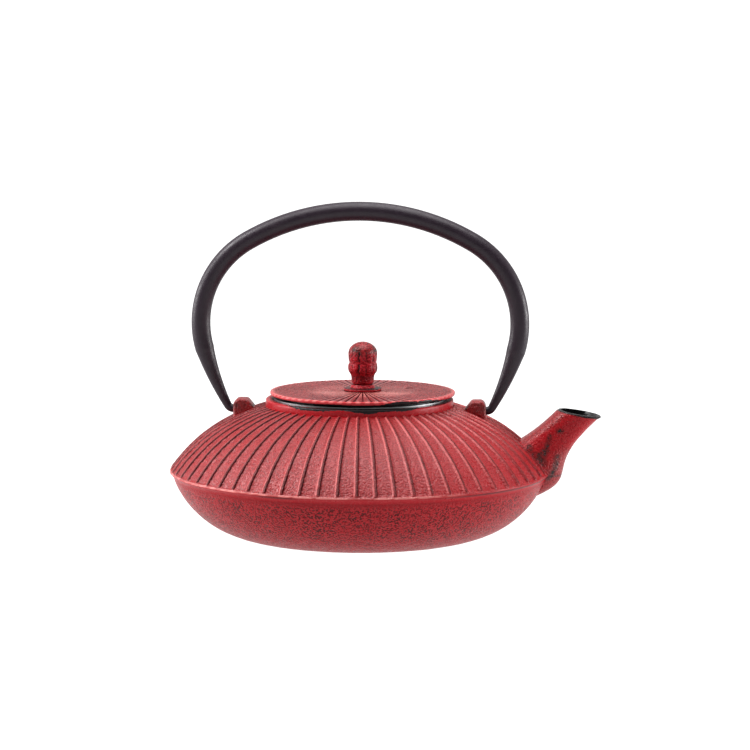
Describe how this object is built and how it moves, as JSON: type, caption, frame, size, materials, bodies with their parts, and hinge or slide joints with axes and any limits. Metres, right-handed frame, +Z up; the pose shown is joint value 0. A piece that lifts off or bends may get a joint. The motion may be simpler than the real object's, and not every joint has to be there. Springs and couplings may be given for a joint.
{
  "type": "cast iron teapot",
  "caption": "Low round cast iron teapot with a short spout, flat ribbed lid with knob, folding bail handle and a lift-out mesh infuser.",
  "frame": {"origin": "centre of the flat foot, on the pot's axis, on the surface that the pot stands on", "axes": "+Z up along the pot's axis, +X from the axis towards the spout; the handle hinges about a line parallel to X"},
  "size_m": [0.193, 0.17, 0.1497],
  "materials": {
    "red_enamel": "pebbled red enamel brushed over black, worn dark on the ribs",
    "black_enamel": "glossy black enamel inside the pot, the spout and on the mouth collar",
    "lid_enamel": "red enamel over fine radial ribs",
    "knob_enamel": "rough red enamel, dark on the ridges",
    "handle_black": "satin black coating",
    "rivet_steel": "plain steel",
    "stainless_sheet": "pressed stainless sheet",
    "stainless_mesh": "fine woven stainless wire"
  },
  "bodies": {
    "pot": {"pot_body": "red_enamel"},
    "handle": {"handle_bail": "handle_black"},
    "infuser": {"infuser_rim": "stainless_sheet", "infuser_mesh_wall": "stainless_mesh", "infuser_mesh_floor": "stainless_mesh", "infuser_base_ring": "stainless_sheet"},
    "lid": {"lid": "lid_enamel", "knob_seat_plate": "lid_enamel"},
    "knob": {"lid_knob": "knob_enamel", "knob_rivet": "rivet_steel", "rivet_washer": "rivet_steel"}
  },
  "joints": [
    {"name": "handle_fold", "type": "hinge", "parent": "pot", "child": "handle", "pos_m": [0, 0, 0.0566], "axis": [1, 0, 0], "range_deg": [-102, 102]},
    {"name": "infuser_lift", "type": "slide", "parent": "pot", "child": "infuser", "axis": [0, 0, 1], "range_m": [0, 0.042]},
    {"name": "lid_lift", "type": "slide", "parent": "infuser", "child": "lid", "axis": [0, 0, 1], "range_m": [0, 0.01]},
    {"name": "knob_spin", "type": "hinge", "parent": "lid", "child": "knob", "pos_m": [0.0013, 0, 0.0682], "axis": [0, 0, 1], "continuous": true}
  ]
}
